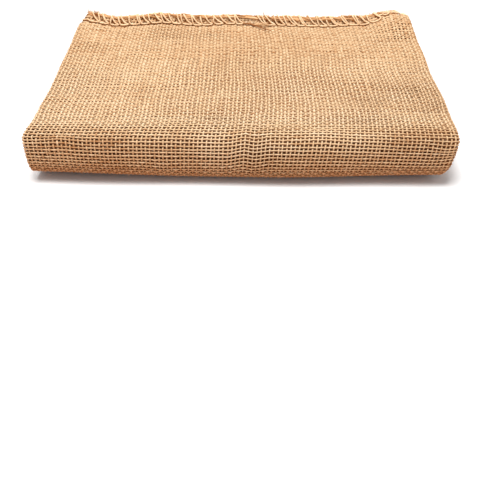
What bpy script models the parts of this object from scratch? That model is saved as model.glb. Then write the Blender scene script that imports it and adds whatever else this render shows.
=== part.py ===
"""A jute sack, folded for storage: its cloth, and the twine that closes its bottom edge.

Units are metres, +Z is up, and the origin is the middle of the underside. The front fold faces -Y, and the sewn edge
lies on top at the back, +Y. The empty sack is first doubled across its width, with that fold at the right, +X. It is
then folded flat into five lengths, one around the other, with its mouth inside and its sewn edge outside.

Every point of the cloth is worked out in three steps. roll() gives the flat roll's centre-line from the mouth to the
seam. fold_up() sets a point off from that line. settle() bends the even roll as the real one lies.
"""

import math

import bmesh
import bpy
import numpy as np

# ---------------------------------------------------------------- driving dimensions (metres and degrees)

WIDTH = 0.305               # folded width, half of the sack's own
WALL = 0.0015               # one wall of the bag
SHEET = 2 * WALL            # the bag's two walls, lying face to face
LEG_PITCH = 0.0040          # from one leg of the widthwise fold to the other
LAYER_PITCH = 2 * LEG_PITCH  # from one of the five lengths to the next
FRONT_TURN = -0.0822        # Y of the axis that the front folds turn about
BACK_TURN = 0.0818          # Y of the axis that the back folds turn about
MOUTH_Y = -0.0680           # where the mouth ends, inside the roll
SEAM_Y = 0.0925             # where the sewn lip turns up from the top

# The level that each of the five lengths lies at, from the mouth to the seam. 0 is the lowest.
LEVELS = (2, 1, 3, 0, 4)

# How far the cloth's edges stand in from the sack's two ends.
EDGES_IN = (
    # left_outer, left_inner, right_fold
    (0.0055, 0.0075, 0.0055),   # at the mouth
    (0.0050, 0.0030, 0.0035),   # at the inner back fold
    (0.0030, 0.0055, 0.0050),   # at the inner front fold
    (0.0050, 0.0025, 0.0045),   # at the outer back fold
    (0.0035, 0.0041, 0.0098),   # at the foot of the front fold that shows
    (-0.0026, 0.0010, -0.0026),  # at TIP_SHARE of the way up that fold
    (0.0021, 0.0038, -0.0016),  # where the top begins
    (0.0039, 0.0045, 0.0018),   # at the middle of the top
    (0.0041, 0.0057, 0.0010),   # CORNER_RUN before the seam
    (0.0060, 0.0080, 0.0036),   # at the seam
    (0.0125, 0.0125, 0.0050),   # at the raw edge
)
TIP_SHARE = 0.76            # where the front fold's ends stand out furthest
CORNER_RUN = 0.024          # over which the top's far corners draw in
EDGE_WANDER = (
    # size, length, turn: each edge's slight waves along the roll
    (0.0006, 0.0310, 1.0),
    (0.0004, 0.0127, 2.0),
)

LIP_LENGTH = 0.0102         # from the crease to the raw edge
LIP_BEND_RADIUS = 0.0050    # of the roll's centre-line at the lip's crease
LIP_RISE_OUTER = 62.0       # degrees that the upper leg's lip stands up
LIP_RISE_INNER = 22.0       # degrees that the lower leg's lip stands up
LIP_FALL = -30.0            # degrees that both lips end at, turned down behind the right corner
LIP_FALL_X = (0.100, 0.150)  # they turn from the one to the other between these

TWINE = 0.0016              # diameter of the sewing twine
TWINE_CLEARANCE = 0.0005    # from the twine to the cloth
STITCHES = 27               # along the upper leg's lip, up to where it turns down
TAIL_STITCH = 15            # where one length of twine ends in a loose tail and the next begins
STITCHES_X = -0.1418        # where the stitches begin
STITCH_PITCH = 0.00965
TWINE_GAP = 0.0008          # that the second length keeps from the first, besides the gap of two legs
STITCH_DEPTH = 0.0084       # from the raw edge to the stitches' feet
STITCH_LEAN = 0.0046        # how far a leg's top lies to the left of its foot
LEG_GAP = 0.0026            # between the two legs that share a hole
SCALLOP_DROP = 0.0018       # how far a scallop hangs below the feet of its legs

JUTE = (0.60, 0.40, 0.22, 1.0)
TWINE_COLOUR = (0.68, 0.48, 0.28, 1.0)
CLOTH_ROUGHNESS = 0.95
TWINE_ROUGHNESS = 0.90

HALF = WIDTH / 2
LEG = LEG_PITCH / 2
THICKNESS = 4 * LAYER_PITCH + LEG_PITCH + SHEET
BASE_Z = LEG + SHEET / 2    # the centre-line's height in the lowest length


# ---------------------------------------------------------------- the shape of the folded cloth

def smooth(value, low, high):
    """0 below low, 1 above high, and a soft step between them."""
    share = np.clip((value - low) / (high - low), 0.0, 1.0)
    return share * share * (3 - 2 * share)


def roll():
    """The flat roll's centre-line: a list of runs and half turns, each with where it starts along the line."""
    parts = []
    start = 0.0
    y = MOUTH_Y
    heading = 1
    for index, level in enumerate(LEVELS):
        z = BASE_Z + LAYER_PITCH * level
        last = index == len(LEVELS) - 1
        end_y = SEAM_Y if last else (BACK_TURN if heading > 0 else FRONT_TURN)
        parts.append(dict(kind="run", start=start, length=abs(end_y - y), y=y, z=z, heading=heading))
        start += abs(end_y - y)
        y = end_y
        if last:
            break
        next_z = BASE_Z + LAYER_PITCH * LEVELS[index + 1]
        radius = abs(next_z - z) / 2
        parts.append(dict(kind="turn", start=start, length=math.pi * radius, y=y, z=(z + next_z) / 2,
                          heading=heading, radius=radius))
        start += math.pi * radius
        heading = -heading
    return parts


ROLL = roll()
SEAM_S = ROLL[-1]["start"] + ROLL[-1]["length"]     # where the lip's crease is along the line
EDGE_S = SEAM_S + LIP_LENGTH                        # where the raw edge is


def edge_in(s, column):
    """How far an edge stands in at s, from the given column of EDGES_IN, with a slight wander of its own."""
    turns = [part["start"] + part["length"] / 2 for part in ROLL if part["kind"] == "turn"]
    top = ROLL[-1]
    front = ROLL[-2]
    stops = [0.0, *turns[:-1], front["start"], front["start"] + TIP_SHARE * front["length"]]
    stops += [top["start"], top["start"] + top["length"] / 2, SEAM_S - CORNER_RUN, SEAM_S, EDGE_S]
    wander = sum(size * np.sin(s / length + turn * column) for size, length, turn in EDGE_WANDER)
    return np.interp(s, stops, [row[column] for row in EDGES_IN]) + wander


def leg_ends(s):
    """Where the outer leg's left edge, the inner leg's left edge and the axis of the widthwise fold are at s."""
    return -HALF + edge_in(s, 0), -HALF + edge_in(s, 1), HALF - edge_in(s, 2) - LEG - SHEET / 2


def fold_up(s, x, n, leg):
    """The even roll: the point at s along the centre-line, at x, and n outward from the line, on the given leg."""
    s, x, n, leg = np.broadcast_arrays(*(np.asarray(value, float) for value in (s, x, n, leg)))
    y = np.zeros(s.shape)
    z = np.zeros(s.shape)
    for part in ROLL:
        along = s - part["start"]
        inside = (along >= 0) & (along <= part["length"] + 1e-9)
        if part["kind"] == "run":
            run_y = part["y"] + part["heading"] * along
            run_z = part["z"] + part["heading"] * n
            y = np.where(inside, run_y, y)
            z = np.where(inside, run_z, z)
        else:
            angle = along / part["radius"]
            out = part["radius"] + n
            y = np.where(inside, part["y"] + part["heading"] * out * np.sin(angle), y)
            z = np.where(inside, part["z"] + part["heading"] * out * np.cos(angle), z)
    return bend_lip(s, x, n, leg, y, z)


def bend_lip(s, x, n, leg, y, z):
    """Turns what lies past the crease up into the lip, the upper leg more, and down behind the right corner."""
    past = s - SEAM_S
    rise = np.radians(LIP_RISE_INNER + (LIP_RISE_OUTER - LIP_RISE_INNER) * smooth(leg, -LEG, LEG))
    rise = rise + (math.radians(LIP_FALL) - rise) * smooth(x, *LIP_FALL_X)
    up = np.where(rise < 0, -1.0, 1.0)
    leg_radius = LIP_BEND_RADIUS - up * leg
    angle = np.clip(past / leg_radius, 0.0, np.abs(rise))
    straight = np.maximum(past - leg_radius * np.abs(rise), 0.0)
    out = LIP_BEND_RADIUS - up * n
    top_z = ROLL[-1]["z"]
    lip_y = SEAM_Y + out * np.sin(angle) + straight * np.cos(angle)
    lip_z = top_z + up * (LIP_BEND_RADIUS - out * np.cos(angle) + straight * np.sin(angle))
    on_lip = past > 0
    return x, np.where(on_lip, lip_y, y), np.where(on_lip, lip_z, z)


# Where the top length swells or sinks: x, y and half width in each direction, and the height at the middle.
TOP_FORMS = (
    # x, y, half_x, half_y, height
    (-0.060, -0.030, 0.070, 0.060, 0.0009),
    (0.020, 0.030, 0.060, 0.060, -0.0009),
    (0.108, -0.035, 0.045, 0.040, 0.0013),
    (-0.118, 0.058, 0.030, 0.024, -0.0012),
    (0.122, 0.020, 0.024, 0.030, -0.0009),
    (0.030, -0.080, 0.045, 0.030, -0.0008),
)
# How far the sewn edge is lifted off the length below it, along x.
EDGE_LIFT = (
    # x, lift
    (-0.155, 0.0020), (-0.138, 0.0022), (-0.117, -0.0014), (-0.098, -0.0006), (-0.074, 0.0014), (-0.042, -0.0010),
    (-0.014, 0.0006), (0.030, -0.0004), (0.075, -0.0012), (0.104, 0.0004), (0.116, 0.0028), (0.134, 0.0106),
    (0.152, 0.0086),
)
EDGE_LIFT_Y = (0.060, 0.096)        # the lift grows between these
EDGE_LIFT_Z = (0.029, THICKNESS)    # and between these heights, so that it takes the top length alone
FLAT_HEIGHT = 0.006                 # up to which the top's forms don't reach
END_LIFT = 0.0036                   # how far the lower front corners stand off the surface
END_LIFT_X = (0.020, HALF)          # the lift grows between these distances from the middle
FRONT_Y = (0.030, 0.100)            # and between these distances towards the front
FRONT_FULLNESS = 0.0018             # how much further the front stands out at its middle
FOOT_PUSH = 0.0042                  # how much further its foot does, pressed flat by its own weight
FOOT_HEIGHTS = (0.10, 0.62)         # as shares of the thickness: the push fades between these
FRONT_WAVE = 0.0006                 # height of the slow waves along the front
FRONT_WAVE_LENGTH = 0.021           # over 2 pi


def settle(x, y, z):
    """Bends the even roll as the real one lies, with the underside left flat."""
    height = np.clip(z / THICKNESS, 0.0, 1.0)
    top = smooth(z, FLAT_HEIGHT, THICKNESS)
    front = smooth(-y, *FRONT_Y)
    for form_x, form_y, half_x, half_y, rise in TOP_FORMS:
        distance = ((x - form_x) / half_x) ** 2 + ((y - form_y) / half_y) ** 2
        z = z + rise * top * np.exp(-distance)
    lift = np.interp(x, [row[0] for row in EDGE_LIFT], [row[1] for row in EDGE_LIFT])
    z = z + lift * smooth(z, *EDGE_LIFT_Z) * smooth(y, *EDGE_LIFT_Y)
    z = z + END_LIFT * smooth(np.abs(x), *END_LIFT_X) * front * (1 - height)
    bow = FRONT_FULLNESS * (1 - (x / HALF) ** 2) + FRONT_WAVE * np.sin(x / FRONT_WAVE_LENGTH)
    y = y - bow * front * np.sin(np.pi * height)
    y = y - FOOT_PUSH * front * (1 - smooth(height, *FOOT_HEIGHTS))
    return x, y, z


def place(s, x, n, leg):
    """The settled place of a point of the cloth, as an array of rows x, y, z."""
    return np.stack(settle(*fold_up(s, x, n, leg)), axis=-1)


# ---------------------------------------------------------------- sack_cloth

RUN_STEP = 0.042            # longest step along a hidden length
TOP_STEP = 0.016            # and along the top one
TURN_STEP = 17.0            # degrees, along the largest half turn; a smaller one takes longer steps
LARGEST_TURN = 2 * LAYER_PITCH
LEAST_TURN_STEPS = 5
LIP_STEPS = (0.0011, 0.0022, 0.0034, 0.0060)
OUTER_COLUMNS = 15          # across the outer leg
INNER_COLUMNS = 9           # across the inner leg
FOLD_STEPS = 6              # around the widthwise fold


def stations():
    """Where the cloth's rows lie along the centre-line."""
    rows = []
    for part in ROLL:
        if part["kind"] == "turn":
            count = max(LEAST_TURN_STEPS, math.ceil(180 / TURN_STEP * (part["radius"] / LARGEST_TURN) ** 0.5))
        else:
            step = TOP_STEP if part is ROLL[-1] else RUN_STEP
            count = math.ceil(part["length"] / step)
        rows += [part["start"] + part["length"] * index / count for index in range(count)]
    rows.append(SEAM_S)
    rows += [SEAM_S + step for step in LIP_STEPS]
    rows.append(EDGE_S)
    return rows


def section(s):
    """The doubled cloth's section at s: rows of x and n, from the outer leg's left edge round to the inner leg's."""
    outer_x, inner_x, fold_x = leg_ends(s)
    rows = [(x, LEG) for x in np.linspace(outer_x, fold_x, OUTER_COLUMNS + 1)]
    for step in range(1, FOLD_STEPS):
        angle = math.pi * step / FOLD_STEPS
        rows.append((fold_x + LEG * math.sin(angle), LEG * math.cos(angle)))
    rows += [(x, -LEG) for x in np.linspace(fold_x, inner_x, INNER_COLUMNS + 1)]
    return rows


def material(name, colour, roughness):
    """A plain material for the piece."""
    made = bpy.data.materials.new(name)
    made.use_nodes = True
    shader = made.node_tree.nodes["Principled BSDF"]
    shader.inputs["Base Color"].default_value = colour
    shader.inputs["Roughness"].default_value = roughness
    shader.inputs["Metallic"].default_value = 0.0
    made.diffuse_color = colour
    return made


def add_object(name, data, collection, colour, roughness):
    """An object in the collection, with a material of its own."""
    made = bpy.data.objects.new(name, data)
    made.data.materials.append(material(name, colour, roughness))
    collection.objects.link(made)
    return made


def build_cloth(collection):
    """The sack's cloth: its middle surface in the folded shape, thickened to its two walls."""
    grid = bmesh.new()
    rows = []
    for s in stations():
        x, n = np.array(section(s)).T
        rows.append([grid.verts.new(spot) for spot in place(s, x, n, n)])
    for row, following in zip(rows, rows[1:]):
        for index in range(len(row) - 1):
            grid.faces.new((row[index], row[index + 1], following[index + 1], following[index]))
    bmesh.ops.recalc_face_normals(grid, faces=grid.faces)
    mesh = bpy.data.meshes.new("sack_cloth")
    grid.to_mesh(mesh)
    grid.free()
    mesh.shade_smooth()
    cloth = add_object("sack_cloth", mesh, collection, JUTE, CLOTH_ROUGHNESS)
    shell = cloth.modifiers.new("two walls", "SOLIDIFY")
    shell.thickness = SHEET
    shell.offset = 0.0
    shell.use_even_offset = True
    return cloth


# ---------------------------------------------------------------- seam_twine_left and seam_twine_right

OFF = SHEET / 2 + TWINE_CLEARANCE + TWINE / 2      # from the cloth's middle surface to the twine's centre
FOOT_S = EDGE_S - STITCH_DEPTH                     # where the stitches' feet are on the lip
SCALLOP_SLACK = 0.27                               # how far in its drop is reached, as a share of a scallop
OVER_EDGE = (
    # A leg from the outer face over the raw edge: lean as a share, and s from the edge and n from the leg's middle.
    (0.80, -0.0003, OFF + 0.00035),
    (0.95, 0.0017, 0.0019),
    (1.05, 0.0017, -0.0019),
    (1.15, -0.0006, -OFF - 0.00035),
)
TAIL = (
    # The loose end on top: x from the last foot, s from the lip's crease and n from the twine's own height.
    (0.0006, 0.0004, 0.0010),
    (0.0034, -0.0030, 0.0008),
    (0.0085, -0.0068, 0.0002),
    (0.0135, -0.0100, 0.0000),
    (0.0185, -0.0124, 0.0000),
)


def stitch_points(foot_x, next_foot_x):
    """One stitch along the lip, in x, s and n: its scallop, then up over the raw edge, a short hook, and back."""
    left = foot_x + LEG_GAP / 2
    right = next_foot_x - LEG_GAP / 2
    slack = SCALLOP_SLACK * (right - left)
    points = [(left, FOOT_S, LEG + OFF)]
    points += [(left + slack, FOOT_S - SCALLOP_DROP, LEG + OFF)]
    points += [(right - slack, FOOT_S - SCALLOP_DROP, LEG + OFF)]
    points += [(right, FOOT_S, LEG + OFF)]
    points += [(right - STITCH_LEAN * lean, EDGE_S + s, LEG + n) for lean, s, n in OVER_EDGE]
    points += [(right + LEG_GAP - STITCH_LEAN * lean, EDGE_S + s, LEG + n) for lean, s, n in reversed(OVER_EDGE)]
    return points


def place_on_lip(s, x, n):
    """The place of a point near the upper leg's lip, set off from the cloth's flat faces between two columns."""
    outer_x, _, fold_x = leg_ends(s)
    column = (fold_x - outer_x) / OUTER_COLUMNS
    index = np.clip(np.floor((x - outer_x) / column), 0, OUTER_COLUMNS - 1)
    left = outer_x + index * column
    share = ((x - left) / column)[:, None]
    return place(s, left, n, LEG) * (1 - share) + place(s, left + column, n, LEG) * share


def build_twine(collection, name, first, count, with_tail):
    """A length of twine over the upper leg's lip, from the given stitch on, that never passes through the cloth."""
    points = []
    for index in range(first, first + count):
        points += stitch_points(STITCHES_X + STITCH_PITCH * index, STITCHES_X + STITCH_PITCH * (index + 1))
    if first > 0:
        points[0] = (points[0][0] + TWINE_GAP, *points[0][1:])
    if with_tail:
        points = points[:-2 * len(OVER_EDGE)]
        foot_x = points[-1][0]
        points += [(foot_x + x, SEAM_S + s, LEG + OFF + n) for x, s, n in TAIL]
    x, s, n = np.array(points).T
    curve = bpy.data.curves.new(name, "CURVE")
    curve.dimensions = "3D"
    curve.bevel_depth = TWINE / 2
    curve.bevel_resolution = 1
    curve.use_fill_caps = True
    spline = curve.splines.new("POLY")
    spline.points.add(len(points) - 1)
    for point, spot in zip(spline.points, place_on_lip(s, x, n)):
        point.co = (*spot, 1.0)
    return add_object(name, curve, collection, TWINE_COLOUR, TWINE_ROUGHNESS)


# ---------------------------------------------------------------- the whole sack

def build():
    for old in list(bpy.data.objects):
        bpy.data.objects.remove(old, do_unlink=True)
    collection = bpy.data.collections.new("jute sack")
    bpy.context.scene.collection.children.link(collection)
    build_cloth(collection)
    build_twine(collection, "seam_twine_left", 0, TAIL_STITCH, with_tail=True)
    build_twine(collection, "seam_twine_right", TAIL_STITCH, STITCHES - TAIL_STITCH, with_tail=False)


build()
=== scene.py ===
"""The looks of a folded jute sack: each thread of its weave that shows, its raw edge, stitches and fuzz.

Metres, +Z up, in the frame's own axes. A point of the cloth is named by its column, which counts the warp
threads across the doubled cloth, by its row, which counts the weft threads from the mouth, or by s, how far it
is along the roll, and by its height off the wall. The folded shape is worked out as in the part's source,
because every thread follows it.
"""

import math

import bpy
import numpy as np
from mathutils import Euler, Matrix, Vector
from mathutils.kdtree import KDTree


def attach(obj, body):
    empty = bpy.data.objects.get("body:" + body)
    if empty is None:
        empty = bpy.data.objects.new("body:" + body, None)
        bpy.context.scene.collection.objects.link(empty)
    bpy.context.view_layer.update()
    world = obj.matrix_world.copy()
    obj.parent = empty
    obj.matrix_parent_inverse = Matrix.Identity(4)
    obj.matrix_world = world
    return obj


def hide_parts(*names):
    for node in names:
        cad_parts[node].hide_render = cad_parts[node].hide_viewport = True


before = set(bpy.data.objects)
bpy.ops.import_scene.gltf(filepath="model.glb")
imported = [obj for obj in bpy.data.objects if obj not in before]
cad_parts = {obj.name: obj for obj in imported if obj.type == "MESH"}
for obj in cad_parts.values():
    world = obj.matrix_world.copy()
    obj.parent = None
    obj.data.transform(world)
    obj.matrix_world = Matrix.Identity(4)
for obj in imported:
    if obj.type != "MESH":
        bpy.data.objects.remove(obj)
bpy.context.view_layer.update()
random = np.random.default_rng(11)

# ---------------- the folded sack's sizes, as in the part's source

WIDTH = 0.305  # folded width, half of the sack's own
WALL = 0.0015  # one wall of the bag
LEG_PITCH = 0.0040  # from one leg of the widthwise fold to the other
LAYER_PITCH = 2 * LEG_PITCH  # from one of the five lengths to the next
FRONT_TURN = -0.0822  # Y of the axis that the front folds turn about
BACK_TURN = 0.0818  # Y of the axis that the back folds turn about
MOUTH_Y = -0.0680  # where the mouth ends, inside the roll
SEAM_Y = 0.0925  # where the sewn lip turns up from the top
LEVELS = (2, 1, 3, 0, 4)  # the level of each of the five lengths, from the mouth to the seam

# How far the cloth's edges stand in from the sack's two ends.
EDGES_IN = (
    # left_outer, left_inner, right_fold
    (0.0055, 0.0075, 0.0055),   # at the mouth
    (0.0050, 0.0030, 0.0035),   # at the inner back fold
    (0.0030, 0.0055, 0.0050),   # at the inner front fold
    (0.0050, 0.0025, 0.0045),   # at the outer back fold
    (0.0035, 0.0041, 0.0098),   # at the foot of the front fold that shows
    (-0.0026, 0.0010, -0.0026),  # at TIP_SHARE of the way up that fold
    (0.0021, 0.0038, -0.0016),  # where the top begins
    (0.0039, 0.0045, 0.0018),   # at the middle of the top
    (0.0041, 0.0057, 0.0010),   # CORNER_RUN before the seam
    (0.0060, 0.0080, 0.0036),   # at the seam
    (0.0125, 0.0125, 0.0050),   # at the raw edge
)
TIP_SHARE = 0.76  # where the front fold's ends stand out furthest
CORNER_RUN = 0.024  # over which the top's far corners draw in
EDGE_WANDER = (
    # size, length over 2 pi, turn: each edge's slight waves along the roll
    (0.0006, 0.0310, 1.0),
    (0.0004, 0.0127, 2.0),
)

LIP_LENGTH = 0.0102  # from the crease to the raw edge
LIP_BEND_RADIUS = 0.0050  # of the roll's centre-line at the lip's crease
LIP_RISE_OUTER = 62.0  # degrees that the upper leg's lip stands up
LIP_RISE_INNER = 22.0  # degrees that the lower leg's lip stands up
LIP_FALL = -30.0  # degrees that both lips end at, turned down behind the right corner
LIP_FALL_X = (0.100, 0.150)  # they turn from the one to the other between these

# Where the top length swells or sinks: x, y and half width in each direction, and the height at the middle.
TOP_FORMS = (
    # x, y, half_x, half_y, height
    (-0.060, -0.030, 0.070, 0.060, 0.0009),
    (0.020, 0.030, 0.060, 0.060, -0.0009),
    (0.108, -0.035, 0.045, 0.040, 0.0013),
    (-0.118, 0.058, 0.030, 0.024, -0.0012),
    (0.122, 0.020, 0.024, 0.030, -0.0009),
    (0.030, -0.080, 0.045, 0.030, -0.0008),
)
# How far the sewn edge is lifted off the length below it, along x.
EDGE_LIFT = (
    # x, lift
    (-0.155, 0.0020), (-0.138, 0.0022), (-0.117, -0.0014), (-0.098, -0.0006), (-0.074, 0.0014),
    (-0.042, -0.0010), (-0.014, 0.0006), (0.030, -0.0004), (0.075, -0.0012), (0.104, 0.0004), (0.116, 0.0028),
    (0.134, 0.0106), (0.152, 0.0086),
)
HALF = WIDTH / 2
LEG = LEG_PITCH / 2
SHEET = 2 * WALL
THICKNESS = 4 * LAYER_PITCH + LEG_PITCH + SHEET
BASE_Z = LEG + SHEET / 2  # the centre-line's height in the lowest length
EDGE_LIFT_Y = (0.060, 0.096)  # the lift grows between these
EDGE_LIFT_Z = (0.029, THICKNESS)  # and between these heights, so that it takes the top length alone
FLAT_HEIGHT = 0.006  # up to which the top's forms don't reach
END_LIFT = 0.0036  # how far the lower front corners stand off the surface
END_LIFT_X = (0.020, HALF)  # the lift grows between these distances from the middle
FRONT_Y = (0.030, 0.100)  # and between these distances towards the front
FRONT_FULLNESS = 0.0018  # how much further the front stands out at its middle
FOOT_PUSH = 0.0042  # how much further its foot does, pressed flat by its own weight
FOOT_HEIGHTS = (0.10, 0.62)  # as shares of the thickness: the push fades between these
FRONT_WAVE = 0.0006  # height of the slow waves along the front
FRONT_WAVE_LENGTH = 0.021  # over 2 pi


# ---------------- the folded shape, as in the part's source

def smooth(value, low, high):
    """0 below low, 1 above high, and a soft step between them."""
    share = np.clip((value - low) / (high - low), 0.0, 1.0)
    return share * share * (3 - 2 * share)


def roll():
    """The roll's centre-line: a list of runs and half turns, each with where it starts along the line."""
    parts = []
    start = 0.0
    y = MOUTH_Y
    heading = 1
    for index, level in enumerate(LEVELS):
        z = BASE_Z + LAYER_PITCH * level
        last = index == len(LEVELS) - 1
        end_y = SEAM_Y if last else (BACK_TURN if heading > 0 else FRONT_TURN)
        parts.append(dict(kind="run", start=start, length=abs(end_y - y), y=y, z=z, heading=heading))
        start += abs(end_y - y)
        y = end_y
        if last:
            break
        next_z = BASE_Z + LAYER_PITCH * LEVELS[index + 1]
        radius = abs(next_z - z) / 2
        parts.append(dict(kind="turn", start=start, length=math.pi * radius, y=y, z=(z + next_z) / 2,
                          heading=heading, radius=radius))
        start += math.pi * radius
        heading = -heading
    return parts


ROLL = roll()
TOP = ROLL[-1]
FRONT = ROLL[-2]
UNDER = ROLL[-3]
BACK = ROLL[-4]
SEAM_S = TOP["start"] + TOP["length"]  # where the lip's crease is along the line
EDGE_S = SEAM_S + LIP_LENGTH  # where the raw edge is


def edge_in(s, column):
    """How far an edge stands in at s, from the given column of EDGES_IN, with a slight wander of its own."""
    turns = [part["start"] + part["length"] / 2 for part in ROLL if part["kind"] == "turn"]
    stops = [0.0, *turns[:-1], FRONT["start"], FRONT["start"] + TIP_SHARE * FRONT["length"]]
    stops += [TOP["start"], TOP["start"] + TOP["length"] / 2, SEAM_S - CORNER_RUN, SEAM_S, EDGE_S]
    wander = sum(size * np.sin(s / length + turn * column) for size, length, turn in EDGE_WANDER)
    return np.interp(s, stops, [row[column] for row in EDGES_IN]) + wander


def leg_ends(s):
    """Where the left edges of the outer and the inner leg and the widthwise fold's axis are at s."""
    return -HALF + edge_in(s, 0), -HALF + edge_in(s, 1), HALF - edge_in(s, 2) - LEG - SHEET / 2


def fold_up(s, x, n, leg):
    """The even roll: the point at s along the centre-line, at x, and n outward from it, on the given leg."""
    s, x, n, leg = np.broadcast_arrays(*(np.asarray(value, float) for value in (s, x, n, leg)))
    y = np.zeros(s.shape)
    z = np.zeros(s.shape)
    for part in ROLL:
        along = s - part["start"]
        inside = (along >= 0) & (along <= part["length"] + 1e-9)
        if part["kind"] == "run":
            y = np.where(inside, part["y"] + part["heading"] * along, y)
            z = np.where(inside, part["z"] + part["heading"] * n, z)
        else:
            angle = along / part["radius"]
            out = part["radius"] + n
            y = np.where(inside, part["y"] + part["heading"] * out * np.sin(angle), y)
            z = np.where(inside, part["z"] + part["heading"] * out * np.cos(angle), z)
    return bend_lip(s, x, n, leg, y, z)


def bend_lip(s, x, n, leg, y, z):
    """Turns what lies past the crease up into the lip, the upper leg more, and down at the right corner."""
    past = s - SEAM_S
    rise = np.radians(LIP_RISE_INNER + (LIP_RISE_OUTER - LIP_RISE_INNER) * smooth(leg, -LEG, LEG))
    rise = rise + (math.radians(LIP_FALL) - rise) * smooth(x, *LIP_FALL_X)
    up = np.where(rise < 0, -1.0, 1.0)
    leg_radius = LIP_BEND_RADIUS - up * leg
    angle = np.clip(past / leg_radius, 0.0, np.abs(rise))
    straight = np.maximum(past - leg_radius * np.abs(rise), 0.0)
    out = LIP_BEND_RADIUS - up * n
    lip_y = SEAM_Y + out * np.sin(angle) + straight * np.cos(angle)
    lip_z = TOP["z"] + up * (LIP_BEND_RADIUS - out * np.cos(angle) + straight * np.sin(angle))
    on_lip = past > 0
    return x, np.where(on_lip, lip_y, y), np.where(on_lip, lip_z, z)


def settle(x, y, z):
    """Bends the even roll as the real one lies, with the underside left flat."""
    height = np.clip(z / THICKNESS, 0.0, 1.0)
    top = smooth(z, FLAT_HEIGHT, THICKNESS)
    front = smooth(-y, *FRONT_Y)
    for form_x, form_y, half_x, half_y, rise in TOP_FORMS:
        distance = ((x - form_x) / half_x) ** 2 + ((y - form_y) / half_y) ** 2
        z = z + rise * top * np.exp(-distance)
    lift = np.interp(x, [row[0] for row in EDGE_LIFT], [row[1] for row in EDGE_LIFT])
    z = z + lift * smooth(z, *EDGE_LIFT_Z) * smooth(y, *EDGE_LIFT_Y)
    z = z + END_LIFT * smooth(np.abs(x), *END_LIFT_X) * front * (1 - height)
    bow = FRONT_FULLNESS * (1 - (x / HALF) ** 2) + FRONT_WAVE * np.sin(x / FRONT_WAVE_LENGTH)
    y = y - bow * front * np.sin(np.pi * height)
    y = y - FOOT_PUSH * front * (1 - smooth(height, *FOOT_HEIGHTS))
    return x, y, z


# ---------------- the weave's own coordinates

COLUMNS = 101  # warp threads from the left edge to the axis of the widthwise fold
FOLD_COLUMNS = 3  # around that fold
FOLD_END = COLUMNS + FOLD_COLUMNS
LAST_COLUMN = FOLD_END + COLUMNS  # at the inner leg's left edge
COLUMN_PITCH = WIDTH / (COLUMNS + 1)
FIRST = -5  # the first column: -1 and below are the outer leg's inner wall
MARGIN = 6  # columns past the inner leg's left edge, on its inner wall
ROW_PITCH = 0.00242  # from one weft thread to the next
TOP_ROW_PITCH = 0.00278  # and over the far part of the top, where the weave is pulled open
TOP_NEAR = 0.050  # which starts so far from the front fold
BEYOND = 0.02  # how far past the raw edge a row may be asked for
PRESSED = 0.0012  # height under which the threads are pressed towards the floor


def row_stops():
    """Stops along the roll, and how many weft threads of the outermost wall lie before each of them."""
    starts = []
    counts = [0.0]
    for part in ROLL:
        starts.append(part["start"])
        if part["kind"] == "turn":
            counts.append(counts[-1] + math.pi * (part["radius"] + LEG + WALL / 2) / ROW_PITCH)
        elif part is not TOP:
            counts.append(counts[-1] + part["length"] / ROW_PITCH)
    starts += [TOP["start"] + TOP_NEAR, EDGE_S, EDGE_S + BEYOND]
    counts.append(counts[-1] + TOP_NEAR / ROW_PITCH)
    counts.append(counts[-1] + (TOP["length"] - TOP_NEAR + LIP_LENGTH) / TOP_ROW_PITCH)
    counts.append(counts[-1] + BEYOND / TOP_ROW_PITCH)
    return np.array(starts), np.array(counts)


STOPS, STOP_ROWS = row_stops()
ROWS = round(STOP_ROWS[-2])  # weft threads from the mouth to the raw edge
STOP_ROWS = STOP_ROWS * ROWS / STOP_ROWS[-2]


def s_of(row):
    """Where a row lies along the roll."""
    return np.interp(row, STOP_ROWS, STOPS)


def row_of(s):
    """The row at s along the roll."""
    return np.interp(s, STOPS, STOP_ROWS)


def press(z):
    """Heights with the lowest of them pressed flat towards the floor, so that none passes through it."""
    return np.where(z < PRESSED, PRESSED * np.exp(np.minimum(z, PRESSED) / PRESSED - 1), z)


def place(s, x, n, leg):
    """The settled place of a point of the cloth, as an array of rows x, y, z."""
    x, y, z = settle(*fold_up(s, x, n, leg))
    return np.stack((x, y, press(z)), axis=-1)


def cloth(column, row, height):
    """The place of a point on the bag, at a column and a row, and at a height off the middle of the wall there.

    Columns run from the outer leg's left edge at 0, around the widthwise fold, to the inner leg's left edge. At
    each left edge the wall turns in on itself, over one column, and goes on as the bag's inner wall.
    """
    column, row, height = np.broadcast_arrays(*(np.asarray(value, float) for value in (column, row, height)))
    s = s_of(row)
    outer_x, inner_x, fold_x = leg_ends(s)
    bend = np.interp(column, (COLUMNS, FOLD_END), (0.0, math.pi))
    facing = bend + np.interp(column, (-1, 0, LAST_COLUMN, LAST_COLUMN + 1), (-math.pi, 0.0, 0.0, math.pi))
    x = outer_x + (fold_x - outer_x) * np.clip(column / COLUMNS, 0.0, 1.0)
    x = x + (inner_x - fold_x) * np.clip((column - FOLD_END) / COLUMNS, 0.0, 1.0)
    x = x + COLUMN_PITCH * (np.maximum(-1 - column, 0.0) + np.maximum(column - LAST_COLUMN - 1, 0.0))
    middle_n = LEG * np.cos(bend)
    off = WALL / 2 + height
    return place(s, x + LEG * np.sin(bend) + off * np.sin(facing), middle_n + off * np.cos(facing), middle_n)


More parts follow.
